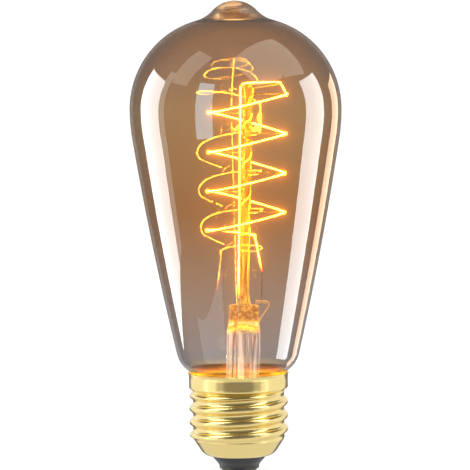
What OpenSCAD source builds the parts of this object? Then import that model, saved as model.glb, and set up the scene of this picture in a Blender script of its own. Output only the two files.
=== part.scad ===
// Incandescent spiral-filament bulb: a pear-shaped amber glass on a brass screw cap.
// The origin is the middle of the end contact's flat face. +Z runs up the cap's axis to the tip of the glass,
// and the front of the bulb faces -Y, with +X to its right.

/* [Glass] */
// Height from the end contact to the tip of the glass
bulb_len = 125.5; // [122:0.5:130]
// Largest diameter of the glass
glass_d = 56; // [52:0.5:60]
// Height of the tip above the widest ring
dome_rise = 28.5; // [27:0.1:30]
// Wall of the glass
glass_wall = 0.7; // [0.4:0.05:1.2]
// Radius of the rounded top, in the upright section
dome_bend = 24.2; // [22:0.1:25]
// Radius of the moulded tip
tip_bend = 8; // [6:0.1:9]
// Wall of the glass in the moulded tip
tip_wall = 1.6; // [0.8:0.1:2.4]
// Radius of the hollow curve between the tip and the top
tip_blend = 9; // [6:0.5:12]
// Radius of the curve just below the widest ring
belly_bend = 50; // [45:1:60]
// Radius of the long, nearly straight side
side_bend = 830; // [700:10:1200]
// Diameter over the turn from the side into the neck
collar_d = 32.9; // [31:0.1:35]
// Radius of this turn
collar_bend = 7.5; // [7:0.1:8]
// Gap between this turn and the cap's rim
rim_gap = 0.4; // [0.2:0.05:0.6]
// Radius of the hollow curve into the neck
neck_blend = 2.5; // [2:0.1:3]
// Gap between the neck and the thread's inner side
neck_gap = 0.6; // [0.5:0.05:0.9]
// Height at which the neck ends inside the cap
neck_end = 14; // [13:0.5:16]

/* [Screw cap] */
// Diameter over the thread's crests
thread_d = 26.3; // [26:0.05:26.6]
// Rise of the thread in one turn
pitch = 3.63; // [3.4:0.01:3.8]
// Depth of the thread from crest to root
thread_depth = 1.05; // [0.8:0.05:1.2]
// Thickness of the rolled brass
shell_wall = 0.3; // [0.2:0.05:0.35]
// Height of the rim
cap_h = 27; // [26:0.5:28]
// Height of the plain band under the rim
skirt_h = 3.9; // [3:0.1:4.5]
// Height over which the thread's root steps out to the band
step_h = 1.2; // [1:0.1:1.6]
// Height of the flared edge at the rim
flare_h = 0.8; // [0.5:0.1:1]
// How far the edge flares out
flare_out = 0.3; // [0.1:0.05:0.4]
// Height at which the foot's cone meets the thread
cone_top = 9.2; // [8.8:0.1:9.6]
// Angle of this cone from upright
cone_angle = 33; // [28:1:38]
// Length of the cone's slope from the thread to the lip's bend
cone_len = 3.66; // [3.4:0.02:3.9]
// Radius of the turned-in lip
lip_bend = 3; // [2.5:0.1:3.4]
// Turn of the thread's crests about the axis
thread_turn = 0; // [-180:5:180]

/* [Contact and insulator] */
// Thickness of the end contact's disc
contact_t = 0.6; // [0.4:0.1:1]
// Radius of the disc
contact_r = 4.6; // [4:0.1:5]
// Outer radius of the disc's tube
eyelet_r = 1.5; // [1.3:0.05:1.8]
// Wall of the tube
eyelet_wall = 0.3; // [0.2:0.05:0.4]
// Height of the solder below the disc
solder_h = 0.6; // [0.4:0.1:1]
// Radius of the solder's flat face
solder_face_r = 2; // [1.6:0.1:2.4]
// Radius of the insulator at its foot
foot_r = 5.25; // [5:0.05:5.6]
// Height of the insulator's upright foot
foot_h = 1; // [0.8:0.05:1.2]
// Rounding of the foot's lower edge
foot_edge = 0.3; // [0.2:0.05:0.4]
// Radius of the hollow curve from the foot into the flank
flank_bend = 1.5; // [1:0.1:2]
// Gap between the flank and the cap's lip
lip_gap = 0.07; // [0.05:0.01:0.1]
// Height of the insulator inside the cap
insulator_rise = 2.9; // [2:0.1:3.5]
// Radius of the side contact's solder
side_solder_r = 1.3; // [1:0.1:1.6]
// Height of the cement between the glass and the cap
cement_h = 1.6; // [1:0.1:1.7]

/* [Stem] */
// Tilt of the stem towards +X
stem_tilt = 1.6; // [0:0.1:2]
// Shift of the stem's foot towards +X
stem_shift = 0.85; // [0:0.05:1]
// Gap between the flare's edge and the neck, before the stem's shift
flare_gap = 1.4; // [1.2:0.05:1.6]
// Outer radius of the stem tube
stem_r = 4.5; // [4.2:0.1:5]
// Wall of the stem tube
stem_wall = 0.9; // [0.7:0.05:1.1]
// Height at which the tube starts to flatten
press_z = 37.5; // [36:0.5:39]
// Height of the pressed block
press_h = 7.5; // [7:0.1:8.5]
// Width of the pressed block
press_w = 8; // [7.6:0.1:8.6]
// Thickness of the pressed block
press_t = 4.2; // [4:0.1:4.6]
// Height over which it narrows from the tube to the block
press_taper = 3.5; // [3:0.1:4]
// Outer radius of the exhaust tube
exhaust_r = 1.9; // [1.6:0.1:2]
// Wall of the exhaust tube
exhaust_wall = 0.5; // [0.4:0.05:0.7]
// How far the exhaust tube's sealed end hangs below the neck
exhaust_drop = 3; // [2:0.1:3.2]
// Depth of the exhaust tube's seat in the press
exhaust_seat_h = 2.3; // [2:0.1:2.6]
// Radius of the hole that joins the exhaust tube to the bulb
exhaust_hole_r = 0.6; // [0.5:0.05:0.7]
// Radius of the centre rod
rod_r = 1.25; // [1.1:0.05:1.5]
// Depth of the rod's top below the tip of the glass
top_room = 22.1; // [21:0.1:24]
// Radius of the rod's foot
rod_foot_r = 1.9; // [1.6:0.1:2]
// Height of the rod's flared foot
rod_foot_h = 4; // [3:0.1:5]
// Radius of the button on the rod's top
button_r = 1.6; // [1.5:0.05:2]
// Height of the button
button_h = 3.4; // [3:0.1:4]

/* [Filament and supports] */
// Number of filament supports along the rod
supports = 8; // [4:2:10]
// Depth of the highest support below the rod's top
support_drop = 2.4; // [1.6:0.1:2.6]
// Height of the lowest support above the press
support_rise = 19.6; // [18:0.1:21]
// Distance from the rod's axis to the eyes of the supports
eye_x = 10.15; // [9:0.05:11]
// Radius of an eye
eye_r = 0.6; // [0.5:0.05:0.7]
// How far a strand bows out of the plane of the supports
bow = 7; // [5:0.1:8]
// How far the last, shorter strand bows out behind the rod
low_bow = 4; // [3:0.1:5]
// Radius of the filament
filament_r = 0.16; // [0.12:0.01:0.2]
// Radius of a support wire
support_r = 0.18; // [0.15:0.01:0.22]
// Radius of an inner lead
lead_r = 0.25; // [0.2:0.01:0.3]
// Radius of an outer lead
outer_lead_r = 0.2; // [0.15:0.01:0.2]
// Radius of a seal wire
seal_wire_r = 0.3; // [0.25:0.01:0.35]
// Length of the right lead's clamp
clamp_len = 3.2; // [2.6:0.1:3.6]
// Width of the clamps
clamp_w = 1; // [0.9:0.05:1.2]
// Height of the right lead's clamp
clamp_h = 0.9; // [0.8:0.05:1]
// Height of the left lead's clamp
clamp_rise = 1.8; // [1.5:0.1:2]
// Height of the clamps above the press
clamp_gap = 0.4; // [0.3:0.05:0.6]

/* [Hidden] */
$fn = 64;
fit = 0.03;
wire_sides = 8;

// Thread and skirt
root_r = thread_d / 2 - thread_depth;
root_in = root_r - shell_wall;
skirt_r = thread_d / 2;
skirt_in = skirt_r - shell_wall;
skirt_z = cap_h - skirt_h;
neck_r = root_in - neck_gap;
neck_in = neck_r - glass_wall;
flare_r = neck_in - flare_gap;
// The foot's cone runs down from the thread's root and on into the lip's bend
cone_up = [sin(cone_angle), cos(cone_angle)];
cone_out = [cos(cone_angle), -sin(cone_angle)];
lip_c = [root_r, cone_top] - cone_len * cone_up - lip_bend * cone_out;

// Levels of the insulator, the contact and the solder, from the bottom up
disc_z = solder_h;
foot_z = disc_z + contact_t;
lip_z = lip_c[1] - lip_bend;
waist = [lip_c[0] - 0.2, lip_z - lip_gap];
knee = [foot_r, foot_z + foot_h];
dish_top = lip_z + insulator_rise;
eyelet_top = dish_top + 0.2;

function unit(v) = v / norm(v);
function angle_of(v) = atan2(v[1], v[0]);

// Points on a circle about c from angle a0 to a1, in n steps
function arc(c, r, a0, a1, n) =
    [for (i = [0:n]) let (a = a0 + (a1 - a0) * i / n) c + r * [cos(a), sin(a)]];

// Point at distance a from p and b from q, to the left of the way from p to q
function meet(p, a, q, b) =
    let (d = norm(q - p), along = (a * a - b * b + d * d) / (2 * d), u = (q - p) / d)
        p + along * u + sqrt(a * a - along * along) * [-u[1], u[0]];

// Middles of the glass's arcs: tip, top, belly, side, collar and neck. The collar passes close over the rim
tip_c = [0, bulb_len - tip_bend];
widest_z = bulb_len - dome_rise;
rim_edge = [skirt_in + flare_out, cap_h];
dome_c = [glass_d / 2 - dome_bend, widest_z];
belly_c = [glass_d / 2 - belly_bend, widest_z];
collar_x = collar_d / 2 - collar_bend;
collar_c = [collar_x, cap_h + sqrt(pow(collar_bend + rim_gap, 2) - pow(rim_edge[0] - collar_x, 2))];
side_c = meet(collar_c, side_bend - collar_bend, belly_c, side_bend - belly_bend);
belly_turn = -angle_of(belly_c - side_c);
side_turn = -angle_of(collar_c - side_c);
neck_c = [neck_r + neck_blend,
    collar_c[1] - sqrt(pow(collar_bend + neck_blend, 2) - pow(neck_r + neck_blend - collar_c[0], 2))];

// Half outline of the glass from the tip to the neck's end, at a depth under the outer surface
function glass_side(depth, tip_depth) =
    let (
        tip_arc = tip_bend - tip_depth,
        blend = tip_blend + depth,
        blend_c = meet(tip_c, tip_arc + blend, dome_c, dome_bend - depth + blend),
        tip_end = angle_of(blend_c - tip_c),
        dome_start = angle_of(blend_c - dome_c),
        collar_end = angle_of(neck_c - collar_c)
    ) concat(
        arc(tip_c, tip_arc, 90, tip_end, 6),
        arc(blend_c, blend, 180 + tip_end, 180 + dome_start, 5),
        arc(dome_c, dome_bend - depth, dome_start, 0, 14),
        arc(belly_c, belly_bend - depth, 0, -belly_turn, 3),
        arc(side_c, side_bend - depth, -belly_turn, -side_turn, 4),
        arc(collar_c, collar_bend - depth, -side_turn, collar_end, 8),
        arc(neck_c, neck_blend + depth, 180 + collar_end, 180, 6),
        [[neck_r - depth, neck_end]]
    );

// List of points without those that repeat the one before
function no_twins(p) = [for (i = [0:len(p) - 1]) if (i == 0 || norm(p[i] - p[i - 1]) > 0.001) p[i]];

function reversed(p) = [for (i = [len(p) - 1:-1:0]) p[i]];

// Half outline of the shell's foot, at a depth under its outer surface: lip, then the cone's upper end
function shell_foot(depth) = concat(
    arc(lip_c, lip_bend - depth, -90, -cone_angle, 4),
    [[root_r, cone_top] + depth * [-1, tan(cone_angle / 2)]]
);

// Knuckle thread: height over the root at a distance along the axis from a crest, on two tangent arcs
knuckle_r = (pow(pitch / 4, 2) + pow(thread_depth / 2, 2)) / thread_depth;
function knuckle(d) =
    abs(d) < pitch / 4
        ? thread_depth - knuckle_r + sqrt(pow(knuckle_r, 2) - d * d)
        : knuckle_r - sqrt(pow(knuckle_r, 2) - pow(pitch / 2 - abs(d), 2));

// Distance along the axis from the nearest crest of the right-hand helix
crest_z = 11.9;
function from_crest(z, a) =
    let (turns = (z - crest_z) / pitch - (a + thread_turn) / 360) (turns - round(turns)) * pitch;

// Soft step from 0 to 1 as z goes from z0 to z1
function ease(z, z0, z1) = let (t = min(1, max(0, (z - z0) / (z1 - z0)))) (1 - cos(180 * t)) / 2;

// Radius of the shell's outer surface at height z and angle a, from the cone's top to the band
thread_rise = 1;
function shell_r(z, a) =
    let (
        rise = ease(z, cone_top, cone_top + thread_rise),
        fade = 1 - ease(z, skirt_z - 2 * step_h, skirt_z - step_h / 2),
        step = (skirt_r - root_r) * ease(z, skirt_z - step_h, skirt_z)
    ) root_r + max(rise * fade * knuckle(from_crest(z, a)), step);

// Skin through rows of points, each a closed ring, with the last row joined to the first
module closed_skin(rows) {
    m = len(rows);
    n = len(rows[0]);
    polyhedron(
        points = [for (row = rows) each row],
        faces = [for (i = [0:m - 1], j = [0:n - 1])
            let (low = i * n, high = ((i + 1) % m) * n, k = (j + 1) % n)
                each [[low + j, high + j, high + k], [low + j, high + k, low + k]]]
    );
}

// Directions along a path at point i, and sideways vectors carried along it without twist
function along(p, i) = unit(p[min(i + 1, len(p) - 1)] - p[max(i - 1, 0)]);
function squared(s, t) = unit(s - (s * t) * t);
function sideways(p) =
    [for (i = 0, s = squared([0.6, 0.64, 0.48], along(p, 0)); i < len(p);
        s = i + 1 < len(p) ? squared(s, along(p, i + 1)) : s, i = i + 1) s];

// Round wire of radius r along a path
module wire(path, r, n = wire_sides) {
    side = sideways(path);
    last = (len(path) - 1) * n;
    polyhedron(
        points = [for (i = [0:len(path) - 1], j = [0:n - 1])
            path[i] + r * (cos(360 * j / n) * side[i] + sin(360 * j / n) * cross(along(path, i), side[i]))],
        faces = concat(
            [[for (j = [0:n - 1]) j]],
            [[for (j = [n - 1:-1:0]) last + j]],
            [for (i = [0:len(path) - 2], j = [0:n - 1])
                let (a = i * n + j, b = i * n + (j + 1) % n) each [[a, a + n, b + n], [a, b + n, b]]]
        )
    );
}

// Route of a bent wire: straight between the points, with each corner rounded over a length r on both sides
function bent(p, r, n = 4) = concat(
    [p[0]],
    [for (i = [1:len(p) - 2], k = [0:n])
        let (
            t = k / n,
            a = p[i] + min(r, 0.45 * norm(p[i - 1] - p[i])) * unit(p[i - 1] - p[i]),
            b = p[i] + min(r, 0.45 * norm(p[i + 1] - p[i])) * unit(p[i + 1] - p[i])
        ) (1 - t) * (1 - t) * a + 2 * t * (1 - t) * p[i] + t * t * b],
    [p[len(p) - 1]]
);

// Round hole or pin from p towards q
module pin(p, q, r) {
    d = q - p;
    translate(p) rotate([0, acos(d[2] / norm(d)), atan2(d[1], d[0])]) cylinder(r = r, h = norm(d));
}

// The stem and all that it carries lean together
module on_stem() {
    translate([stem_shift, 0, neck_end]) rotate([0, stem_tilt, 0]) translate([0, 0, -neck_end]) children();
}

// Half section of the flare: its edge, the curve up into the tube, and the tube
flare_bend = flare_r - stem_r;
flare_c = [flare_r, neck_end + stem_wall + flare_bend];
function flare_side(depth, top) = concat(
    arc(flare_c, flare_bend + depth, 270, 180, 8),
    [[stem_r - depth, top]]
);

// Press: it narrows from the round tube to a flat block
press_top = press_z + press_h;
tube_in = stem_r - stem_wall;
exhaust_end = neck_end - exhaust_drop;
exhaust_seat = press_z + exhaust_seat_h;
exhaust_mouth = press_z + exhaust_seat_h / 2;
exhaust_hole_z = exhaust_seat - exhaust_hole_r - 0.1;

// Where each seal wire starts in the tube and where it leaves the press: by the right side, and by the front
lead_x = (exhaust_r + tube_in) / 2;
seal_z = press_z - 3.5;
seal_right = [[lead_x, 0, seal_z], [press_w / 2 + 0.15, 0, press_z + press_taper - 0.6]];
seal_left = [[-lead_x, 0, seal_z], [-0.38 * stem_r, 0.05 - press_t / 2, press_top - 1.8]];
function before(run, d) = run[0] - d * unit(run[1] - run[0]);
function beyond(run, d) = run[1] + d * unit(run[1] - run[0]);

// Middles of the clamps that join the inner leads to the filament
clamp_right_at = [press_w / 2 + 0.6, 0, press_top + clamp_gap + clamp_h / 2];
clamp_left_at = [-1.5, -press_t / 2 - 0.35, press_top + clamp_gap + clamp_rise / 2];

// The supports leave the rod to the right and to the left in turn, evenly spaced from the top down
rod_top = bulb_len - top_room;
support_top = rod_top - support_drop;
support_step = (support_top - press_top - support_rise) / (supports - 1);
function support_z(i) = support_top - support_step * i;
function support_side(i) = i % 2 == 0 ? 1 : -1;

// Eyes at the filament's ends: over the top corner, beside the rod's top, and low on the right
corner_eye = [eye_x - 1.75, 1.7, rod_top + 0.7];
left_eye = [-1.5, -2.2, rod_top + 0.1];
low_eye = [2.4, 0.6, support_z(supports - 1) - 2 * eye_r];

// The supports start near the rod's axis, and those of these eyes leave the rod below its rounded top
support_root = 0.5;
function root_z(eye) = min(eye[2], rod_top - 0.9);
function outward(eye) = unit([eye[0], eye[1], 0]);

// One strand of the spiral: half a turn about the rod, in front of it to the left and behind it to the right
function strand(i) =
    [for (a = [0:15:165]) [
        support_side(i) * eye_x * cos(a),
        -support_side(i) * bow * sin(a),
        support_z(i) - support_step * (1 - cos(a)) / 2
    ]];

// The last, shorter strand: from the lowest support behind the rod to the low eye
function low_strand() =
    let (start = [-eye_x, 0, support_z(supports - 1)])
        [for (a = [0:20:160]) start + (low_eye - start) * (1 - cos(a)) / 2 + [0, low_bow * sin(a), 0]];

// The filament rises from the left clamp, crosses over the rod, winds down and ends in the right clamp
function filament_path() = concat(
    bent([
        clamp_left_at,
        left_eye + [-0.5, 0.35, -0.7],
        left_eye,
        left_eye + [0.7, -0.3, 0.35],
        corner_eye + [-0.9, -0.6, 0.1],
        corner_eye,
        corner_eye + [0.4, 0.6, -0.5],
        [eye_x, 0.8, support_top + 0.2],
        [eye_x, 0.2, support_top]
    ], 0.5, 3),
    [for (i = [0:supports - 2]) each strand(i)],
    low_strand(),
    bent([
        low_eye + [0, 0.2, 0],
        low_eye + [0.1, -0.5, -0.1],
        [clamp_right_at[0], 0.1, clamp_right_at[2] + 8],
        clamp_right_at
    ], 0.5, 3)
);

module glass_envelope() {
    outer = glass_side(0, 0);
    inner = glass_side(glass_wall, tip_wall);
    color([0.62, 0.4, 0.25, 0.4])
        rotate_extrude() polygon(no_twins(concat(outer, reversed(inner))));
}

// The glass as a solid body, grown by the fit: what is made round the neck is cut by it
module round_glass() {
    rotate_extrude() polygon(no_twins(concat(glass_side(-fit, -fit), [[0, neck_end]])));
}

module stem_seal() {
    seal_h = stem_wall + 0.1;
    color([0.75, 0.6, 0.5, 0.6]) difference() {
        translate([0, 0, neck_end]) cylinder(r = neck_in - fit, h = seal_h);
        on_stem() translate([0, 0, neck_end - seal_h]) cylinder(r = flare_r + fit, h = 3 * seal_h);
    }
}

module stem_flare() {
    color([0.75, 0.6, 0.5, 0.6]) on_stem()
        rotate_extrude() polygon(concat(flare_side(0, press_z), reversed(flare_side(stem_wall, press_z))));
}

// Outline that a pair of jaws leaves in the press: it narrows from the tube to a block 2 * half wide
function pinched(half) = [
    [-stem_r, press_z], [stem_r, press_z], [half, press_z + press_taper], [half - 0.2, press_top],
    [0.2 - half, press_top], [-half, press_z + press_taper]
];

module stem_press() {
    color([0.75, 0.6, 0.5, 0.6]) on_stem() difference() {
        intersection() {
            translate([0, 0, press_z]) cylinder(r = stem_r, h = press_h);
            rotate([90, 0, 90]) linear_extrude(4 * stem_r, center = true) polygon(pinched(press_t / 2));
            rotate([90, 0, 0]) linear_extrude(4 * stem_r, center = true) polygon(pinched(press_w / 2));
        }
        union() {
            rotate_extrude() polygon([
                [0, press_z - 1], [tube_in, press_z - 1], [tube_in, press_z + 0.01],
                [exhaust_r + fit, exhaust_mouth], [exhaust_r + fit, exhaust_seat], [0, exhaust_seat]
            ]);
            translate([0, 0, exhaust_hole_z]) rotate([90, 0, 0]) cylinder(r = exhaust_hole_r, h = stem_r);
            for (run = [seal_right, seal_left]) pin(beyond(run, 2), before(run, -2), seal_wire_r + fit);
        }
    }
}

module exhaust_tube() {
    hole_r = exhaust_r - exhaust_wall;
    top = exhaust_seat - 0.02;
    color([0.75, 0.6, 0.5, 0.6]) on_stem() difference() {
        rotate_extrude() polygon(concat(
            arc([0, exhaust_end + exhaust_r], exhaust_r, -90, 0, 6), [[exhaust_r, top], [0, top]]
        ));
        translate([0, 0, exhaust_end + exhaust_r]) cylinder(r = hole_r, h = top);
        translate([0, 0, exhaust_hole_z]) rotate([90, 0, 0]) cylinder(r = exhaust_hole_r, h = stem_r);
    }
}

module centre_rod() {
    foot_bend = (pow(rod_foot_r - rod_r, 2) + pow(rod_foot_h, 2)) / (2 * (rod_foot_r - rod_r));
    foot_c = [rod_r + foot_bend, press_top + rod_foot_h];
    round_r = 0.6;
    button_z = rod_top - button_h;
    color([0.8, 0.55, 0.4]) on_stem() difference() {
        rotate_extrude() polygon(concat(
            [[0, press_top]],
            arc(foot_c, foot_bend, 180 + asin(rod_foot_h / foot_bend), 180, 6),
            [[rod_r, button_z]],
            arc([button_r - round_r, button_z + round_r], round_r, -60, 0, 3),
            arc([button_r - round_r, rod_top - round_r], round_r, 0, 90, 4),
            [[0, rod_top]]
        ));
        for (i = [0:supports - 1]) support_hole([support_side(i), 0, 0], support_z(i));
        for (eye = [corner_eye, left_eye, low_eye]) support_hole(outward(eye), root_z(eye));
    }
}

// Blind hole in the rod, in direction d at height z
module support_hole(d, z) {
    pin((support_root - fit) * d + [0, 0, z], (rod_foot_r + 1) * d + [0, 0, z], support_r + fit);
}

// Support wire i: straight out of the rod, then most of a turn in the upright plane
module support_wire(i) {
    side = support_side(i) * [1, 0, 0];
    root = [0, 0, support_z(i)];
    color("dimgray") on_stem() wire(concat(
        [root + support_root * side, root + (eye_x - 2.2 * eye_r) * side],
        [for (a = [-150:30:120]) root + (eye_x + eye_r * cos(a)) * side + [0, 0, eye_r * sin(a)]]
    ), support_r);
}

// Support to an eye near the rod's end, with the wire's free end as the last point
module end_support(eye, free_end) {
    d = outward(eye);
    root = [0, 0, root_z(eye)];
    turn = [for (a = [-120:30:120]) eye + eye_r * (cos(a) * d + [0, 0, sin(a)])];
    color("dimgray") on_stem() wire(concat(
        bent([root + support_root * d, root + (button_r + 0.35) * d, turn[0]], 0.3, 3),
        [for (i = [1:free_end ? 4 : 8]) turn[i]],
        free_end ? [eye + free_end] : []
    ), support_r);
}

module top_support_right() {
    end_support(corner_eye, [1, 0.2, 2]);
}

module top_support_left() {
    end_support(left_eye);
}

module low_support() {
    end_support(low_eye);
}

module filament() {
    color("orange") on_stem() wire(filament_path(), filament_r);
}

// Folded strip that grips the filament's cold end from above and the lead from its outer end
module clamp_right() {
    color("gray") on_stem() difference() {
        translate(clamp_right_at) cube([clamp_len, clamp_w, clamp_h], center = true);
        translate(clamp_right_at) cylinder(r = filament_r + 2 * fit, h = clamp_h);
        pin(clamp_right_at + [clamp_len / 2 - 1, 0, 0], clamp_right_at + [clamp_len, 0, 0], lead_r + fit);
    }
}

module clamp_left() {
    color("gray") on_stem() difference() {
        translate(clamp_left_at) cube([clamp_w, clamp_w, clamp_rise], center = true);
        translate(clamp_left_at) cylinder(r = filament_r + 2 * fit, h = clamp_rise);
        pin(clamp_left_at - [0, 0, clamp_rise / 4], clamp_left_at - [0, 0, clamp_rise], lead_r + fit);
    }
}

module inner_lead_right() {
    outer_end = clamp_right_at + [clamp_len / 2, 0, 0];
    color("gray") on_stem() wire(bent([
        seal_right[1],
        beyond(seal_right, 0.9),
        outer_end + [0.2, 0, -1.5],
        outer_end + [0.55, 0, 0],
        outer_end - [0.95, 0, 0]
    ], 0.6), lead_r);
}

module inner_lead_left() {
    under = clamp_left_at - [0, 0, clamp_rise / 2];
    color("gray") on_stem() wire(bent([
        seal_left[1],
        beyond(seal_left, 0.6),
        under - [0, 0, 0.4],
        under + [0, 0, clamp_rise / 4 - 0.05]
    ], 0.4), lead_r);
}

module seal_wire(run) {
    color("chocolate") on_stem() pin(before(run, 0.5), beyond(run, -0.02), seal_wire_r);
}

module seal_wire_right() {
    seal_wire(seal_right);
}

module seal_wire_left() {
    seal_wire(seal_left);
}

// Where a point of the leaning stem lies in the upright cap
function stem_point(p) =
    [stem_shift + p[0] * cos(stem_tilt) + (p[2] - neck_end) * sin(stem_tilt), p[1],
        neck_end + (p[2] - neck_end) * cos(stem_tilt) - p[0] * sin(stem_tilt)];

// The outer leads hang on both sides of the exhaust tube, from the seal wires to below the flare
lead_z = flare_c[1] + 2.5;

// The side lead goes down the tube, round under the neck and up behind it to the rim
side_lead_r = (neck_r + root_in) / 2;
lead_end_r = skirt_in - outer_lead_r - 0.05;
turn_z = (neck_end + cone_top) / 2 + outer_lead_r;

module outer_lead_side() {
    color("silver") wire(bent([
        stem_point(before(seal_left, 0.55)),
        stem_point([-lead_x, 0, lead_z]),
        [stem_shift - lead_x, outer_lead_r * 5, turn_z],
        [0, side_lead_r, turn_z],
        [0, side_lead_r, skirt_z + cement_h + 0.2],
        [0, lead_end_r, cap_h - 0.8],
        [0, lead_end_r + 0.05, cap_h - 0.05]
    ], 1.5), outer_lead_r, 6);
}

module outer_lead_centre() {
    color("silver") wire(bent([
        stem_point(before(seal_right, 0.55)),
        stem_point([lead_x, 0, lead_z]),
        stem_point([lead_x, 0, neck_end]),
        [2.2, 0, eyelet_top + 1.7],
        [0, 0, eyelet_top + 1.1],
        [0, 0, disc_z + 0.5]
    ], 1), outer_lead_r, 6);
}

module screw_shell() {
    around = 40;
    rows_in_turn = 9;
    thread_rows = ceil((skirt_z - cone_top) / pitch * rows_in_turn);
    heights = concat(
        [for (i = [1:thread_rows]) cone_top + (skirt_z - cone_top) * i / thread_rows],
        [cap_h - flare_h]
    );
    ring_angles = [for (j = [0:around - 1]) 360 * j / around];
    function ring(p) = [for (a = ring_angles) [p[0] * cos(a), p[0] * sin(a), p[1]]];
    function level(z, depth) =
        [for (a = ring_angles) let (r = shell_r(z, a) - depth) [r * cos(a), r * sin(a), z]];
    rows = concat(
        [for (p = shell_foot(0)) ring(p)],
        [for (z = heights) level(z, 0)],
        [ring([skirt_r + flare_out, cap_h])],
        [ring([skirt_in + flare_out, cap_h])],
        [for (z = reversed(heights)) level(z, shell_wall)],
        [for (p = reversed(shell_foot(shell_wall))) ring(p)]
    );
    color("goldenrod") closed_skin(rows);
}

module cement_ring() {
    color("tan") difference() {
        translate([0, 0, skirt_z + 0.05]) cylinder(r = skirt_in - fit, h = cement_h);
        round_glass();
        translate([0, side_lead_r, skirt_z - 1]) cylinder(r = outer_lead_r + 0.1, h = cement_h + 2);
    }
}

// Moulded insulator: an upright foot, a flank that widens to the lip, and a dish that fills the cap's foot
module insulator() {
    dish_bend = lip_bend - shell_wall - fit;
    lean = 90 - angle_of(waist - knee);
    flank_c = knee + flank_bend * [1, -tan(lean / 2)];
    dish_end = lip_c + dish_bend * cone_out;
    color([0.1, 0.1, 0.1]) difference() {
        rotate_extrude() polygon(concat(
            [[eyelet_r + fit, foot_z]],
            arc([foot_r - foot_edge, foot_z + foot_edge], foot_edge, -90, 0, 3),
            arc(flank_c, flank_bend, 180, 180 - lean, 4),
            [waist],
            arc(lip_c, dish_bend, -90 - 4, -cone_angle, 4),
            [dish_end + (dish_top - dish_end[1]) / cone_up[1] * cone_up],
            [[eyelet_r + fit, dish_top]]
        ));
        translate([0, 0, foot_z - 1]) cylinder(r = eyelet_r + fit, h = dish_top);
    }
}

module centre_contact() {
    edge = contact_t / 2;
    color("goldenrod") rotate_extrude() polygon(concat(
        [[eyelet_r - eyelet_wall, disc_z]],
        arc([contact_r - edge, disc_z + edge], edge, -90, 0, 4),
        [[contact_r, foot_z], [eyelet_r, foot_z]],
        [[eyelet_r, eyelet_top], [eyelet_r - eyelet_wall, eyelet_top]]
    ));
}

module end_solder() {
    plug_r = eyelet_r - eyelet_wall - fit;
    plug_top = foot_z + 0.6;
    color("silver") difference() {
        rotate_extrude() polygon([
            [0, 0], [solder_face_r, 0], [solder_face_r + 0.4, solder_h / 3], [solder_face_r + 0.6, solder_h],
            [plug_r, solder_h], [plug_r, plug_top], [0, plug_top]
        ]);
        translate([0, 0, disc_z + 0.45]) cylinder(r = outer_lead_r + fit, h = plug_top);
    }
}

// Bead of solder that holds the side lead to the rim, at the back
module side_solder() {
    $fn = 180;
    bead = [0, skirt_r + flare_out - 0.3, cap_h - 0.15];
    color("silver") difference() {
        translate(bead) sphere(side_solder_r);
        rotate_extrude() polygon([
            [skirt_in - 2, cap_h - 3], [skirt_r + fit, cap_h - 3], [skirt_r + fit, cap_h - flare_h],
            [skirt_r + flare_out + fit, cap_h + fit], [skirt_in - 2, cap_h + fit]
        ]);
        round_glass();
    }
}

glass_envelope();
stem_seal();
stem_flare();
stem_press();
exhaust_tube();
centre_rod();
for (i = [1:supports]) support_wire(i - 1);
top_support_right();
top_support_left();
low_support();
filament();
clamp_right();
clamp_left();
inner_lead_right();
inner_lead_left();
seal_wire_right();
seal_wire_left();
outer_lead_side();
outer_lead_centre();
screw_shell();
cement_ring();
insulator();
centre_contact();
end_solder();
side_solder();
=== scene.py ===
import math

import bmesh
import bpy
import numpy as np
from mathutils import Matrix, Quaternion, Vector


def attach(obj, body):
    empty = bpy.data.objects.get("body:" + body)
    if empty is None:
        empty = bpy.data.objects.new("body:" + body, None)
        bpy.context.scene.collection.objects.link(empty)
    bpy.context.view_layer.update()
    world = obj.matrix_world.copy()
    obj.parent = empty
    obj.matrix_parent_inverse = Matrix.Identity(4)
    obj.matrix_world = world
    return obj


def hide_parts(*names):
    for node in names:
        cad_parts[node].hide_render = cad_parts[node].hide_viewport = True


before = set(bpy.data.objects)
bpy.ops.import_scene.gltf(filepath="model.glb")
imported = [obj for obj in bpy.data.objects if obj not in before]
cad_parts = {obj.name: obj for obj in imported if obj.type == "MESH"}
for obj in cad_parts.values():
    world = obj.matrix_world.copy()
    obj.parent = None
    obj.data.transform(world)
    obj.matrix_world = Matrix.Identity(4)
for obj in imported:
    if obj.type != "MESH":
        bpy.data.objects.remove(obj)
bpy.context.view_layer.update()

# The studio: the bulb stands on a wide white floor under a white sky. Shiny surfaces reflect a dimmer room
# than the one behind the bulb, as under flags in a product studio, and each softbox is for the glass, the cap
# or the foot alone. The camera looks slightly down, and leans a little.
camera_distance, camera_height = 0.900, 0.144
view_width, view_centre_x, view_centre_z = 0.1246, -0.0005, 0.0635
camera_roll, film_width, nearest_seen = math.radians(-0.6), 36, 0.01
floor_half, floor_lines = 30.0, 24
sky_white, room_grey = (1.02, 1.02, 1.02), (0.16, 0.15, 0.145)

scene = bpy.context.scene
eye = Vector((0, -camera_distance, camera_height))
look_at = Vector((view_centre_x, 0, view_centre_z))
lens = bpy.data.cameras.new("camera")
lens.sensor_width = film_width
lens.lens = film_width * (look_at - eye).length / view_width
lens.clip_start = nearest_seen
camera = bpy.data.objects.new("camera", lens)
camera.location = eye
level_aim = (look_at - eye).to_track_quat("-Z", "Y")
camera.rotation_euler = (level_aim @ Quaternion((0, 0, 1), camera_roll)).to_euler()
scene.collection.objects.link(camera)
scene.camera = camera


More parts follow.
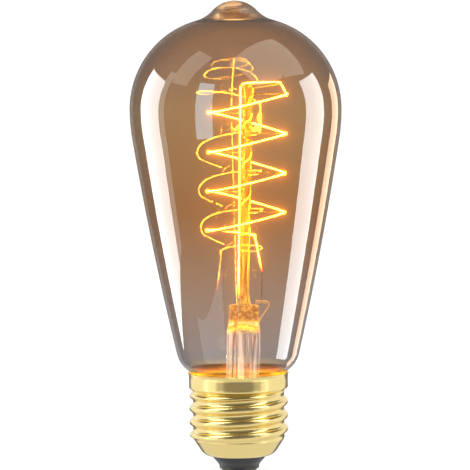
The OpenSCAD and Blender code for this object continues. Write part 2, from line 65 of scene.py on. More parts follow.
class Value:
    """An output of a shader node. Plain maths on it adds a Math node, so 1 - mask * 0.5 reads as it looks."""

    def __init__(self, paint, socket):
        self.paint, self.socket = paint, socket

    def maths(self, operation, a, b):
        """Result of one Math node on two values or numbers."""
        return self.paint.add("Math", {"operation": operation}, {0: a, 1: b})

    def __add__(self, other):
        return self.maths("ADD", self, other)

    def __rsub__(self, other):
        return self.maths("SUBTRACT", other, self)

    def __mul__(self, other):
        return self.maths("MULTIPLY", self, other)

    __radd__, __rmul__ = __add__, __mul__


class Paint:
    """The nodes of one material, or of the tree that is given."""

    def __init__(self, name, tree=None):
        if tree is None:
            self.material = bpy.data.materials.new(name)
            self.material.use_nodes = True
            tree = self.material.node_tree
        self.tree = tree
        tree.nodes.clear()

    def add(self, kind, settings=None, inputs=None, out=0):
        """An output of a new node, made from its type, its settings, and its inputs' values or links."""
        node = self.tree.nodes.new("ShaderNode" + kind)
        for key, value in (settings or {}).items():
            if key == "stops":
                ramp = node.color_ramp.elements
                while len(ramp) < len(value):
                    ramp.new(1.0)
                for element, (place, colour) in zip(ramp, value):
                    element.position, element.color = place, (*colour, 1)
            else:
                setattr(node, key, value)
        for key, value in (inputs or {}).items():
            if isinstance(value, Value):
                self.tree.links.new(value.socket, node.inputs[key])
            elif isinstance(value, tuple) and len(value) == 3 and len(node.inputs[key].default_value) == 4:
                node.inputs[key].default_value = (*value, 1)
            else:
                node.inputs[key].default_value = value
        return Value(self, node.outputs[out])

    def place(self, scale):
        """Object coordinates, stretched by scale: a larger number squeezes the pattern along that axis."""
        at = self.add("TexCoord", out="Object")
        return self.add("Mapping", {}, {"Vector": at, "Scale": scale})

    def noise(self, size_mm, detail=3.0, scale=(1, 1, 1)):
        """Soft noise from 0 to 1 whose blotches are about size_mm across."""
        where = self.place(scale)
        return self.add("TexNoise", {}, {"Vector": where, "Scale": 1000 / size_mm, "Detail": detail})

    def rise(self, low_mm, high_mm):
        """Height of a point, from 0 at low_mm to 1 at high_mm."""
        height = self.add("SeparateXYZ", {}, {"Vector": self.add("TexCoord", out="Object")}, out="Z")
        limits = {"From Min": low_mm / 1000, "From Max": high_mm / 1000}
        return self.add("MapRange", {}, {"Value": height, **limits})

    def share(self, name):
        """Share from 0 to 1 that the piece carries at each of its points under this name."""
        return self.add("Attribute", {"attribute_name": name}, out="Fac")

    def ramp(self, share, *stops):
        """Colour that runs with a share from one stop to the next. A stop is the share and its colour."""
        return self.add("ValToRGB", {"stops": stops}, {"Fac": share}, out="Color")

    def blend(self, share, a, b):
        """Colour a where share is 0, b where it is 1."""
        return self.add("Mix", {"data_type": "RGBA"}, {"Factor": share, "A": a, "B": b}, out="Result")

    def bump(self, height, depth_mm):
        """Normal of a surface that a height from 0 to 1 raises by up to depth_mm."""
        return self.add("Bump", {}, {"Height": height, "Distance": depth_mm / 1000})

    def surface(self, **inputs):
        """Principled surface. An input's name is given with _ for each space."""
        plain = {key.replace("_", " "): value for key, value in inputs.items()}
        shader = self.add("BsdfPrincipled", {}, plain, out="BSDF")
        end = self.tree.nodes.new("ShaderNodeOutputMaterial")
        self.tree.links.new(shader.socket, end.inputs["Surface"])
        return self.material


def grid_mesh(name, points, wrap_rows=False, wrap_columns=False):
    """Object from a grid of points in millimetres, rows by columns, that may close on itself either way.

    Each face joins the four corners of one cell of the grid. A point's number is its row times the number of
    columns, plus its column. Points that fall together, as at a pole, are merged."""
    rows, columns = points.shape[:2]
    i = np.arange(rows if wrap_rows else rows - 1)[:, None]
    j = np.arange(columns if wrap_columns else columns - 1)[None, :]
    next_i, next_j = (i + 1) % rows, (j + 1) % columns
    corners = (i, j), (i, next_j), (next_i, next_j), (next_i, j)
    faces = np.stack([row * columns + column for row, column in corners], axis=-1).reshape(-1, 4)
    mesh = bpy.data.meshes.new(name)
    mesh.from_pydata(points.reshape(-1, 3) / 1000, [], faces.tolist())
    body = bmesh.new()
    body.from_mesh(mesh)
    bmesh.ops.remove_doubles(body, verts=body.verts, dist=1e-7)
    bmesh.ops.recalc_face_normals(body, faces=body.faces)
    body.to_mesh(mesh)
    body.free()
    mesh.shade_smooth()
    piece = bpy.data.objects.new(name, mesh)
    scene.collection.objects.link(piece)
    return piece


def finish(piece, material, slot, *nodes, sharp=40):
    """Gives a piece its material, and hard edges where faces meet at more than sharp degrees. It stands in
    for CAD nodes on the root body."""
    piece.data.materials.append(material)
    piece.data.set_sharp_from_angle(angle=math.radians(sharp))
    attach(piece, "root")
    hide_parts(*nodes)


floor_at = np.linspace(-floor_half, floor_half, floor_lines) * 1000
floor_x, floor_y = np.meshgrid(floor_at, floor_at)
floor = grid_mesh("studio_floor", np.stack([floor_x, floor_y, 0 * floor_x], axis=-1))
paper = Paint("white_paper")
paper_tone = paper.blend(paper.noise(40), (0.34, 0.34, 0.34), (0.36, 0.36, 0.36))
floor.data.materials.append(paper.surface(
    Base_Color=paper_tone, Roughness=0.9, Emission_Color=(1.0, 1.0, 1.0), Emission_Strength=0.75
))
floor.visible_glossy = False
floor.visible_shadow = False

sky = bpy.data.worlds.new("studio_sky")
sky.use_nodes = True
scene.world = sky
air = Paint("studio_sky", sky.node_tree)
shiny = air.add("LightPath", out="Is Glossy Ray") * (1 - air.add("LightPath", out="Is Transmission Ray"))
sky_light = air.add("Background", {}, {"Color": air.blend(shiny, sky_white, room_grey), "Strength": 1.0})
sky_end = sky.node_tree.nodes.new("ShaderNodeOutputWorld")
sky.node_tree.links.new(sky_light.socket, sky_end.inputs["Surface"])

# Each panel light lies on a ball of this radius round the height that it is aimed at.
box_distance, cap_aim_z, cap_tone = 0.60, 0.02, (0.98, 1.0, 1.0)
glass_pieces = bpy.data.collections.new("glass_pieces")
cap_pieces = bpy.data.collections.new("cap_pieces")
foot_pieces = bpy.data.collections.new("foot_pieces")


def softbox(name, pieces, azimuth, elevation, aim_z, width, height, radiance, tone):
    """Panel light for one group of pieces. It lies azimuth degrees round from the front and elevation degrees
    up from the height aim_z on the bulb's axis, and faces that point. Its power is radiance by pi by area."""
    lamp = bpy.data.lights.new(name, "AREA")
    lamp.shape = "RECTANGLE"
    lamp.size, lamp.size_y = width, height
    lamp.energy = radiance * math.pi * width * height
    lamp.color = tone
    box = bpy.data.objects.new(name, lamp)
    turn, lift = math.radians(azimuth), math.radians(elevation)
    away = Vector((math.sin(turn) * math.cos(lift), -math.cos(turn) * math.cos(lift), math.sin(lift)))
    box.location = Vector((0, 0, aim_z)) + box_distance * away
    box.rotation_euler = (-away).to_track_quat("-Z", "Y").to_euler()
    box.visible_camera = False
    box.visible_transmission = False
    box.light_linking.receiver_collection = pieces
    scene.collection.objects.link(box)


for name, azimuth, elevation, aim_z, width, height, radiance, tone in (
    ("left_strip", -106.7, 0, 0.105, 0.35, 0.57, 12.0, (0.95, 0.98, 1.0)),
    ("right_strip", 95, 0, 0.055, 0.31, 0.69, 11.0, (0.96, 0.99, 0.99)),
    ("right_rim", 136, 0, -0.065, 0.20, 0.57, 6.0, (1.0, 0.62, 0.43)),
    ("left_fill", -87, 0, 0.18, 0.10, 0.70, 2.2, (0.9, 1.0, 1.0)),
    ("low_window", -48, 0, -0.42, 0.54, 0.30, 1.5, (0.85, 0.95, 1.0)),
    ("window", -34, 0, 0.20, 0.20, 0.58, 7.5, (0.54, 0.84, 1.0)),
    ("overhead", 61, 57, 0.10, 0.74, 0.50, 2.4, (1.0, 0.96, 0.80)),
    ("overhead_left", -70, 46, 0.10, 0.22, 0.42, 2.2, (1.0, 0.96, 0.82)),
):
    softbox(name, glass_pieces, azimuth, elevation, aim_z, width, height, radiance, tone)
for name, azimuth, elevation, width, height, radiance in (
    ("cap_front", 0, 0, 0.80, 0.26, 0.14),
    ("cap_left", -69, 0, 0.34, 0.60, 1.05),
    ("cap_left_edge", -44, 0, 0.20, 0.60, 0.42),
    ("cap_left_high", -70, 48, 0.34, 0.50, 2.8),
    ("cap_far_left", -112, 0, 0.80, 0.60, 0.9),
    ("cap_right", 62, 0, 0.20, 0.60, 0.95),
    ("cap_right_edge", 43, 0, 0.16, 0.60, 0.40),
    ("cap_right_high", 66, 48, 0.24, 0.50, 2.8),
    ("cap_far_right", 105, 0, 0.90, 0.60, 0.85),
    ("cap_below", 0, -85, 2.60, 2.60, 0.68),
    ("cap_behind", 180, 20, 0.90, 0.60, 0.8),
):
    softbox(name, cap_pieces, azimuth, elevation, cap_aim_z, width, height, radiance, cap_tone)
softbox("foot_below", foot_pieces, 0, -85, 0.0, 0.80, 0.80, 0.9, cap_tone)

scene.view_settings.view_transform = "Standard"
scene.cycles.use_denoising = True
scene.cycles.max_bounces = 32
scene.cycles.transmission_bounces = 32
scene.cycles.glossy_bounces = 16
scene.cycles.sample_clamp_indirect = 0

# The glass envelope: one blown wall of smoky amber glass. It was drawn out and moulded to a small tip at the
# top, and its neck narrows into the cap. The outline is a chain of arcs that run into each other.
bulb_len, glass_d, widest_z = 125.5, 56.0, 97.0
glass_wall, tip_wall = 0.7, 1.6
dome_bend, tip_bend, tip_blend = 24.2, 8.0, 9.0
belly_bend, side_bend = 50.0, 830.0
collar_d, collar_bend, rim_gap, neck_blend = 32.9, 7.5, 0.4, 2.5
neck_r, neck_end = 11.2, 14.0
rim_r, cap_h = 13.15, 27.0
lit_from, lit_depth, hollow_spread, lit_reach, lit_fade = 116, 0.8 * tip_wall, 14, 4.4, 1.4
tip_from, tip_reach, tip_fade = 114, 10.5, 2.5
tint_foot, neck_edge, side_edge = 24, 26, 29.5


def arc(centre, radius, start, end, steps):
    """Points on a circle from angle start to angle end in radians: centre plus radius by cosine and sine."""
    turn = np.linspace(start, end, steps + 1)
    return np.array(centre) + radius * np.stack([np.cos(turn), np.sin(turn)], axis=-1)


def revolve(outline, around):
    """Grid of an outline turned about the Z axis: x and y are the radius by the turn's cosine and sine."""
    turn = np.arange(around) * 2 * np.pi / around
    r, z = outline[:, :1], outline[:, 1:]
    return np.stack([r * np.cos(turn), r * np.sin(turn), z + 0 * turn], axis=-1)


def meet(p, a, q, b):
    """Centre at distance a from p and b from q, on the outer side, by the two-circle formula."""
    p, q = np.array(p), np.array(q)
    gap = np.linalg.norm(q - p)
    along = (a * a - b * b + gap * gap) / (2 * gap)
    u = (q - p) / gap
    return p + along * u + math.sqrt(a * a - along * along) * np.array([-u[1], u[0]])


def angle_of(v):
    """Angle of a flat vector from the X axis, by the arctangent of its y and x."""
    return math.atan2(v[1], v[0])


tip_c = np.array([0, bulb_len - tip_bend])
dome_c = np.array([glass_d / 2 - dome_bend, widest_z])
belly_c = np.array([glass_d / 2 - belly_bend, widest_z])
collar_x = collar_d / 2 - collar_bend
collar_c = np.array([collar_x, cap_h + math.sqrt((collar_bend + rim_gap) ** 2 - (rim_r - collar_x) ** 2)])
side_c = meet(collar_c, side_bend - collar_bend, belly_c, side_bend - belly_bend)
belly_turn, side_turn = -angle_of(belly_c - side_c), -angle_of(collar_c - side_c)
across = neck_r + neck_blend - collar_c[0]
neck_c = np.array([neck_r + neck_blend, collar_c[1] - math.sqrt((collar_bend + neck_blend) ** 2 - across**2)])


def glass_side(depth, tip_depth):
    """Half outline of the glass from the tip down to the neck's end, at a depth under the outer surface: each
    arc keeps its centre, and its radius is less by the depth, or more where the outline is hollow."""
    blend = tip_blend + depth
    blend_c = meet(tip_c, tip_bend - tip_depth + blend, dome_c, dome_bend - depth + blend)
    tip_end, dome_start = angle_of(blend_c - tip_c), angle_of(blend_c - dome_c)
    collar_end = angle_of(neck_c - collar_c)
    return np.concatenate([
        arc(tip_c, tip_bend - tip_depth, np.pi / 2, tip_end, 18)[:-1],
        arc(blend_c, blend, np.pi + tip_end, np.pi + dome_start, 12)[:-1],
        arc(dome_c, dome_bend - depth, dome_start, 0, 36)[:-1],
        arc(belly_c, belly_bend - depth, 0, -belly_turn, 8)[:-1],
        arc(side_c, side_bend - depth, -belly_turn, -side_turn, 24)[:-1],
        arc(collar_c, collar_bend - depth, -side_turn, collar_end, 16)[:-1],
        arc(neck_c, neck_blend + depth, np.pi + collar_end, np.pi, 12),
        [[neck_r - depth, neck_end + 4], [neck_r - depth, neck_end]],
    ])


outline = np.concatenate([glass_side(0, 0), glass_side(glass_wall, tip_wall)[::-1]])
envelope = grid_mesh("glass_wall", revolve(outline, 192), wrap_columns=True)


def reach_of(piece):
    """Distance from the axis and height of each point of a piece, in millimetres."""
    at = np.empty(len(piece.data.vertices) * 3, np.float32)
    piece.data.vertices.foreach_get("co", at)
    x, y, z = at.reshape(-1, 3).T * 1000
    return np.hypot(x, y), z


def mark(piece, name, shares):
    """Stores a share from 0 to 1 at each point of a piece."""
    kept = piece.data.attributes.new(name, "FLOAT", "POINT")
    kept.data.foreach_set("value", shares.astype(np.float32))


# The tip's inner side lies under a parabola about the axis. Its middle carries painted light: a glow of
# emission for the filament's light caught in the tip.
r, z = reach_of(envelope)
under_tip = z < bulb_len - lit_depth - r * r / hollow_spread
mark(envelope, "lit_share", (z > lit_from) * under_tip * np.clip((lit_reach - r) / lit_fade, 0, 1))
mark(envelope, "tip_share", (z > tip_from) * ~under_tip * np.clip((tip_reach - r) / tip_fade, 0, 1))

# The tint changes with height, and is deeper where the wall is seen edge on. The tip is wavier and duller.
amber = Paint("amber_glass")
smoke = amber.ramp(
    amber.rise(tint_foot, bulb_len),
    (0.03, (0.87, 0.66, 0.36)), (0.052, (0.515, 0.475, 0.46)), (0.21, (0.575, 0.46, 0.385)),
    (0.454, (0.56, 0.375, 0.225)), (0.718, (0.58, 0.435, 0.285)), (0.849, (0.53, 0.39, 0.295)),
    (0.934, (0.56, 0.39, 0.26)), (1.0, (0.22, 0.15, 0.11)),
)
edge_on = amber.add("LayerWeight", {}, {"Blend": 0.5}, out="Facing")
thick = amber.add("MapRange", {"interpolation_type": "SMOOTHSTEP"}, {
    "Value": edge_on, "From Min": 0.3, "From Max": 0.9,
})
tint = amber.add("Mix", {"data_type": "RGBA", "blend_type": "MULTIPLY"}, {
    "Factor": thick * amber.rise(neck_edge, side_edge), "A": smoke, "B": (0.36, 0.36, 0.42),
}, out="Result")
at_tip = amber.share("tip_share")
waves = amber.noise(9, 1.0, (1, 1, 0.35)) + at_tip * amber.noise(1.6, 2.0, (0.2, 0.2, 1)) * 4
ripple = amber.bump(waves, 0.012)
# Painted light: rings of orange emission in the middle of the tip.
tip_light_rings = amber.ramp(
    amber.noise(1.2, 1.0, (0.15, 0.15, 1)), (0.46, (0.05, 0.02, 0.01)), (0.52, (1.0, 0.68, 0.32)),
)
tip_glow = amber.blend(amber.share("lit_share"), (0, 0, 0), tip_light_rings)
amber_glass = amber.surface(
    Base_Color=tint, Roughness=at_tip * 0.1, Transmission_Weight=1.0, IOR=1.5, Normal=ripple,
    Emission_Color=tip_glow, Emission_Strength=1.5,
)
finish(envelope, amber_glass, "amber_glass", "glass_envelope")
glass_pieces.objects.link(envelope)

# The stem: clear lead glass. A flared tube is pinched flat at its top round the lead wires, and a solid rod
# stands on the pinch, with a button melted on its end. The whole leans a little to the right.
stem_tilt, stem_shift = math.radians(1.6), 0.85
flare_r, stem_r, stem_wall = 9.1, 4.5, 0.9
press_z, press_top, press_taper, press_w, press_t = 37.5, 45.0, 3.5, 8.0, 4.2
press_power, press_draft, crown_r, crown_draft, crown_soft = 3.6, 0.02, 0.7, 0.2, 0.8
rod_r, rod_top, rod_foot_r, rod_foot_h, rod_lift, rod_straight_z = 1.25, 103.4, 1.9, 4.0, 0.05, 52
button_r, button_h, button_bend, button_run, button_start = 1.6, 3.4, 1.1, 0.6, -0.85
tube_straight_z, bore_end, bore_top, bore_flat_r = 20, press_z - 0.5, press_z + 1.5, 1.6
stem_around = 96


def leaned(points):
    """Points of the upright stem as it leans: turned about Y at the neck's end by its tilt, and shifted."""
    x, y, z = np.moveaxis(np.asarray(points, float), -1, 0)
    c, s, up = math.cos(stem_tilt), math.sin(stem_tilt), z - neck_end
    return np.stack([stem_shift + x * c + up * s, y, neck_end + up * c - x * s], axis=-1)


def loft(levels):
    """Grid of superellipse rings. A level is height, half width, half depth and power, 2 for an ellipse. The
    reach is the sum of the turn's cosine and sine, each to the power, by the root of minus that power."""
    turn = np.arange(stem_around) * 2 * np.pi / stem_around
    z, a, b, power = (levels[:, k : k + 1] for k in range(4))
    c, s = np.cos(turn), np.sin(turn)
    reach = (np.abs(c) ** power + np.abs(s) ** power) ** (-1 / power)
    return np.stack([a * reach * c, b * reach * s, z + 0 * turn], axis=-1)


def round_levels(side):
    """Levels of round rings from an outline of radius and height."""
    r, z = np.asarray(side, float).T
    return np.stack([z, r, r, 2 + 0 * z], axis=-1)


def ease(t):
    """Soft step: half a cosine wave from 0 to 1."""
    return (1 - np.cos(np.pi * np.clip(t, 0, 1))) / 2


flare_bend = flare_r - stem_r
flare_c = (flare_r, neck_end + stem_wall + flare_bend)
foot_bend = ((rod_foot_r - rod_r) ** 2 + rod_foot_h**2) / (2 * (rod_foot_r - rod_r))
pinch = ease(np.linspace(0, 1, 14))
pinch_z = press_z + press_taper * np.linspace(0, 1, 14)
block_z = np.linspace(press_z + press_taper, press_top - crown_r, 6)[1:]
crown = np.linspace(0, np.pi / 2, 7)[1:]
crown_in = crown_r * (1 - np.cos(crown))
foot_turn = np.linspace(math.asin(rod_foot_h / foot_bend), 0, 10)
stem_levels = np.concatenate([
    round_levels(arc(flare_c, flare_bend, -np.pi / 2, -np.pi, 20)),
    round_levels([[stem_r, z] for z in np.linspace(tube_straight_z, press_z, 10)]),
    np.stack([
        pinch_z, stem_r + (press_w / 2 - stem_r) * pinch, stem_r + (press_t / 2 - stem_r) * pinch,
        2 + (press_power - 2) * pinch,
    ], axis=-1)[1:],
    np.stack([
        block_z, press_w / 2 + 0 * block_z, press_t / 2 - press_draft * (block_z - block_z[0]),
        press_power + 0 * block_z,
    ], axis=-1),
    np.stack([
        press_top - crown_r + crown_r * np.sin(crown), press_w / 2 - crown_in,
        press_t / 2 - crown_draft - crown_in / 4, press_power - crown_soft * np.sin(crown),
    ], axis=-1),
    round_levels(np.stack([
        rod_r + foot_bend * (1 - np.cos(foot_turn)),
        press_top + rod_lift + rod_foot_h - foot_bend * np.sin(foot_turn),
    ], axis=-1)),
    round_levels([[rod_r, z] for z in np.linspace(rod_straight_z, rod_top - button_h - button_run, 20)]),
    round_levels(arc(
        (button_r - button_bend, rod_top - button_h + button_bend), button_bend, button_start, 0, 6,
    )),
    round_levels(arc((button_r - button_bend, rod_top - button_bend), button_bend, 0, np.pi / 2, 8)),
    round_levels([[0, rod_top]]),
])
bore_side = np.concatenate([
    arc(flare_c, flare_bend + stem_wall, -np.pi / 2, -np.pi, 20),
    [[stem_r - stem_wall, z] for z in np.linspace(tube_straight_z + 1, bore_end, 6)],
    arc((bore_flat_r, bore_end), stem_r - stem_wall - bore_flat_r, 0, np.pi / 2, 8),
    [[0, bore_top]],
])
stem_grid = np.concatenate([loft(round_levels(bore_side[::-1])), loft(stem_levels)])
stem = grid_mesh("stem_glass", leaned(stem_grid), wrap_columns=True)

# Painted light from the filament: streaks of emission up the tube and the rod, and mottled emission in the
# press.
stem_lit = Paint("lit_stem_glass")
pull = stem_lit.bump(stem_lit.noise(2.2, 2.0, (1, 1, 0.6)), 0.05)
light_streaks = stem_lit.noise(0.55, 3.0, (1, 1, 0.07))
rod_glow = stem_lit.ramp(
    light_streaks, (0.40, (0.10, 0.035, 0.0)), (0.5, (0.55, 0.30, 0.005)), (0.62, (1.0, 0.82, 0.10)),
)
tube_glow = stem_lit.ramp(
    stem_lit.noise(1.3, 2.0, (1, 1, 0.04)), (0.52, (0.05, 0.03, 0.02)), (0.60, (0.78, 0.63, 0.54)),
)
# Painted light: this noise places the mottled emission and the orange glints in the press.
light_mottle = stem_lit.noise(0.8, 4.0)
press_glow = stem_lit.ramp(
    light_mottle, (0.36, (0.22, 0.07, 0.0)), (0.5, (0.50, 0.21, 0.01)), (0.64, (1.0, 0.68, 0.12)),
)
band_glow = stem_lit.blend(light_mottle, (0.7, 0.28, 0.01), (1.3, 1.0, 0.12))
in_press = stem_lit.rise(press_z + 0.2, press_z + 1.6)
in_block = stem_lit.rise(press_z + 2.6, press_z + 3.6)
in_rod = stem_lit.rise(press_top - 0.4, press_top + 0.6)
press_lit = stem_lit.blend(in_press, tube_glow, stem_lit.blend(in_block, band_glow, press_glow))
# Painted glints: the press and the rod are tinted orange for the filament's light seen in them. The tube
# below stays clear.
press_glint_tint = stem_lit.blend(light_mottle, (0.62, 0.34, 0.10), (0.92, 0.68, 0.36))
rod_glint_tint = stem_lit.blend(light_streaks, (0.75, 0.42, 0.08), (0.98, 0.85, 0.45))
clear_and_glint_tint = stem_lit.blend(in_press, (0.96, 0.95, 0.93), stem_lit.blend(in_rod, press_glint_tint, rod_glint_tint))
stem_glass = stem_lit.surface(
    Base_Color=clear_and_glint_tint, Roughness=0.0, Transmission_Weight=1.0, IOR=1.55, Normal=pull,
    Emission_Color=stem_lit.blend(in_rod, press_lit, rod_glow), Emission_Strength=0.8,
)
finish(stem, stem_glass, "stem_glass", "stem_flare", "stem_press", "centre_rod", sharp=60)
glass_pieces.objects.link(stem)

# The seal and the exhaust tube: the flare's edge is melted to the neck all round, and the narrow tube through
# which the air was drawn out is melted off to a round end inside the cap.
seal_r, seal_h, seal_bevel, flare_gap = neck_r - glass_wall - 0.03, 0.9, 0.05, 0.04
exhaust_r, exhaust_wall, exhaust_end, exhaust_top = 1.9, 0.5, 11.0, 38.95

clear = Paint("clear_glass")
clear_glass = clear.surface(
    Base_Color=clear.blend(clear.noise(12), (0.93, 0.91, 0.88), (0.98, 0.97, 0.95)), Roughness=0.0,
    Transmission_Weight=1.0, IOR=1.55, Normal=clear.bump(clear.noise(2.2, 2.0, (1, 1, 0.6)), 0.05),
)
seal_side = np.array([
    [flare_r, neck_end], [flare_r, neck_end + seal_h], [seal_r, neck_end + seal_h + seal_bevel],
    [seal_r, neck_end + seal_bevel], [flare_r, neck_end],
])
seal_grid = revolve(seal_side, stem_around)
flare_edge = leaned(revolve(np.array([[flare_r + flare_gap, neck_end]]), stem_around))[0]
seal_grid[seal_side[:, 0] == flare_r, :, :2] = flare_edge[:, :2]
finish(grid_mesh("neck_seal", seal_grid, wrap_columns=True), clear_glass, "stem_glass", "stem_seal")

tube_side = np.concatenate([
    arc((0, exhaust_end + exhaust_r), exhaust_r, -np.pi / 2, 0, 10),
    [[exhaust_r, z] for z in np.linspace(neck_end, exhaust_top, 8)],
    [[exhaust_r - exhaust_wall, z] for z in np.linspace(exhaust_top, neck_end, 8)],
    arc((0, exhaust_end + exhaust_r), exhaust_r - exhaust_wall, 0, -np.pi / 2, 10),
])
exhaust = grid_mesh("pumping_tube", leaned(revolve(tube_side, 48)), wrap_columns=True)
finish(exhaust, clear_glass, "stem_glass", "exhaust_tube")
glass_pieces.objects.link(exhaust)

# The supports: molybdenum wires pushed into the soft glass of the rod. Each ends in an open eye that carries
# the filament, and they point right and left in turn. Three more hold the filament's ends.
supports, support_top, support_step = 8, 101.0, 5.2
eye_x, eye_r, support_r, support_root = 10.15, 0.6, 0.18, 0.5
arm_middle, arm_end, button_clear, button_root = 3, eye_x - 2.4 * eye_r, 0.35, 0.9
wire_sides, bend_steps, corner_share = 12, 6, 0.45
corner_eye = np.array([8.4, 1.7, 104.1])
left_eye = np.array([-1.5, -2.2, 103.5])
low_eye = np.array([2.4, 0.6, support_top - support_step * (supports - 1) - 1.2])


def unit(v):
    """Vectors divided by their own lengths."""
    return v / np.linalg.norm(v, axis=-1, keepdims=True)


def frames(path):
    """Directions along a path, and two sideways ones that are carried along without twist: each takes the one
    before it and loses the part that points ahead."""
    ahead = unit(np.gradient(path, axis=0))
    side = np.empty_like(path)
    side[0] = unit(np.cross(ahead[0], [0.6, 0.64, 0.48]))
    for k in range(1, len(path)):
        side[k] = unit(side[k - 1] - np.dot(side[k - 1], ahead[k]) * ahead[k])
    return ahead, side, np.cross(ahead, side)


def round_wire(name, path, radius):
    """Wire swept along a path, a ring at each point. At its ends the radius follows a half circle."""
    path = np.asarray(path, float)
    ahead, side, up = frames(path)
    tail = radius * np.array([1.0, 0.6, 0.2])
    near = radius * np.sqrt(1 - (tail / radius) ** 2)
    start = path[:1] + ahead[:1] * (radius - tail[:, None])
    end = path[-1:] - ahead[-1:] * (radius - tail[::-1, None])
    centre = np.concatenate([start, path[1:-1], end])
    wide = np.concatenate([near, np.full(len(path) - 2, radius), near[::-1]])
    pick = np.concatenate([[0] * 3, np.arange(1, len(path) - 1), [len(path) - 1] * 3])
    turn = np.arange(wire_sides) * 2 * np.pi / wire_sides
    ring = side[pick][:, None] * np.cos(turn)[:, None] + up[pick][:, None] * np.sin(turn)[:, None]
    return grid_mesh(name, centre[:, None] + wide[:, None, None] * ring, wrap_columns=True)


def bent(points, r):
    """Straight runs between the points, with each corner rounded by a quadratic curve over a length r, or
    over less where a run is short."""
    points = [np.asarray(p, float) for p in points]
    t = np.linspace(0, 1, bend_steps + 1)[:, None]
    route = [points[0][None]]
    for before, corner, after in zip(points, points[1:], points[2:]):
        a = corner + min(r, corner_share * np.linalg.norm(before - corner)) * unit(before - corner)
        b = corner + min(r, corner_share * np.linalg.norm(after - corner)) * unit(after - corner)
        route.append((1 - t) ** 2 * a + 2 * t * (1 - t) * corner + t**2 * b)
    return np.concatenate([*route, points[-1][None]])


def outward(eye_at):
    """Level direction from the axis towards an eye."""
    return unit(np.array([eye_at[0], eye_at[1], 0]))


def root_of(eye_at):
    """Point on the axis level with an eye, or in the rod's button where the eye is higher."""
    return np.array([0, 0, min(eye_at[2], rod_top - button_root)])


def support_z(i):
    """Height of a support: each is one step under the one before."""
    return support_top - support_step * i


grey_wire = Paint("drawn_molybdenum")
draw_marks = grey_wire.noise(0.5, 2.0)
wire_tone = grey_wire.blend(draw_marks, (0.30, 0.27, 0.24), (0.46, 0.42, 0.38))
molybdenum = grey_wire.surface(
    Base_Color=wire_tone, Metallic=1.0, Roughness=0.28 + 0.2 * draw_marks,
    Normal=grey_wire.bump(draw_marks, 0.01),
)
hook_turn = np.radians(np.arange(-150, 121, 15))[:, None]
for i in range(supports):
    side = np.array([1.0 if i % 2 == 0 else -1.0, 0, 0])
    root = np.array([0, 0, support_z(i)])
    hook = root + (eye_x + eye_r * np.cos(hook_turn)) * side + eye_r * np.sin(hook_turn) * np.array([0, 0, 1])
    arm = root + np.array([[support_root], [arm_middle], [arm_end]]) * side
    path = np.concatenate([arm, hook])
    piece = round_wire("support_%d" % (i + 1), leaned(path), support_r)
    finish(piece, molybdenum, "support_metal", "support_wire_%d" % (i + 1), sharp=60)

for name, node, eye_at, free_end in (
    ("corner_support", "top_support_right", corner_eye, (1.0, 0.2, 2.0)),
    ("top_support", "top_support_left", left_eye, None),
    ("end_support", "low_support", low_eye, None),
):
    d, root = outward(eye_at), root_of(eye_at)
    turn = np.radians(np.arange(-120, 1 if free_end else 121, 15))[:, None]
    ring = eye_at + eye_r * (np.cos(turn) * d + np.sin(turn) * np.array([0, 0, 1]))
    arm = bent([root + support_root * d, root + (button_r + button_clear) * d, ring[0]], 0.3)
    path = np.concatenate([arm[:-1], ring, *([[eye_at + np.array(free_end)]] if free_end else [])])
    finish(round_wire(name, leaned(path), support_r), molybdenum, "support_metal", node, sharp=60)

# The filament: a fine tungsten wire wound into one long coil, lit. It rises from the left clamp, crosses over
# the rod, winds down from eye to eye, and ends in the right clamp. It stays dark where it nears a clamp.
coil_r, coil_wire_r, coil_pitch = 0.115, 0.045, 0.24
coil_points, coil_sides, core_step = 10, 5, 0.25
dark_start, dark_end, warm_end = 6, 8, 3
bow, low_bow = 7.0, 4.0
clamp_right_at = np.array([4.6, 0, press_top + 0.85])
clamp_left_at = np.array([-1.5, -2.45, press_top + 1.3])
straight_end_z = clamp_right_at[2] + 8


def strand(i):
    """Half a turn about the rod: x follows a cosine and y a sine, and z falls with x, so that it looks
    straight from the front."""
    a = np.radians(np.arange(0, 180, 7.5))
    s = 1 if i % 2 == 0 else -1
    z = support_z(i) - support_step * (1 - np.cos(a)) / 2
    return np.stack([s * eye_x * np.cos(a), -s * bow * np.sin(a), z], axis=-1)


last = np.array([-eye_x, 0, support_z(supports - 1)])
fall = np.radians(np.arange(0, 161, 10))[:, None]
low_strand = last + (low_eye - last) * (1 - np.cos(fall)) / 2 + low_bow * np.sin(fall) * np.array([0, 1, 0])
route = np.concatenate([
    bent([
        clamp_left_at, left_eye + [-0.5, 0.35, -0.7], left_eye, left_eye + [0.7, -0.3, 0.35],
        corner_eye + [-0.9, -0.6, 0.1], corner_eye, corner_eye + [0.4, 0.6, -0.5],
        [eye_x, 0.8, support_top + 0.2], [eye_x, 0.2, support_top],
    ], 0.5),
    *[strand(i) for i in range(supports - 1)],
    low_strand,
    bent([
        low_eye + [0, 0.2, 0], low_eye + [0.1, -0.5, -0.1],
        [clamp_right_at[0], 0.1, straight_end_z], clamp_right_at,
    ], 0.5),
])
step = np.linalg.norm(np.diff(route, axis=0), axis=1)
reach = np.concatenate([[0], np.cumsum(step)])
keep = np.concatenate([[True], step > 1e-6])
core_at = np.linspace(0, reach[-1], int(reach[-1] / core_step))
core = np.stack([np.interp(core_at, reach[keep], route[keep, k]) for k in range(3)], axis=-1)
ahead, side, up = frames(core)

